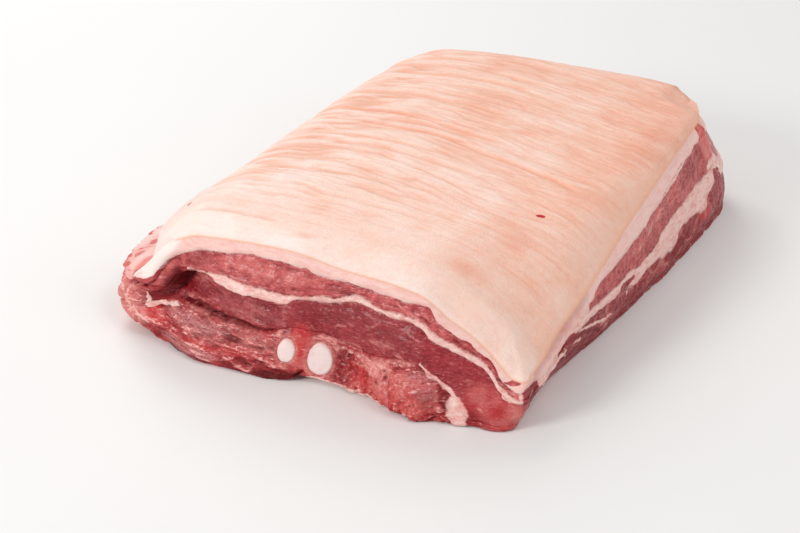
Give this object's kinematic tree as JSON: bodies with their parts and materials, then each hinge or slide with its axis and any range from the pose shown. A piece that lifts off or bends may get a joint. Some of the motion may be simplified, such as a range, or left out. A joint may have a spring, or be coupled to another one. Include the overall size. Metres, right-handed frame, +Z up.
{
  "type": "raw pork belly slab",
  "caption": "Thick raw slab of pork belly, rind side up, with layers of fat and lean showing at its cut sides and the cut ends of rib cartilages at the front.",
  "frame": {"origin": "centre of the slab's outline, on the surface that it rests on", "axes": "+Z up through the rind, +Y along the slab's length away from the end with the cut cartilages, +X across it"},
  "size_m": [0.1869, 0.2513, 0.0475],
  "materials": {
    "rind": "raw pig skin, pale peach, soft satin sheen",
    "fat": "raw cut fat, pinkish cream, moist",
    "lean": "raw lean meat, dark pinkish red, wet",
    "cartilage": "cut cartilage, milky white, wet"
  },
  "bodies": {
    "root": {"rind_fat": "rind", "outer_lean": "lean", "seam_fat": "fat", "inner_lean": "lean", "under_lean": "lean", "cartilage_small": "cartilage", "cartilage_large": "cartilage"}
  },
  "joints": []
}
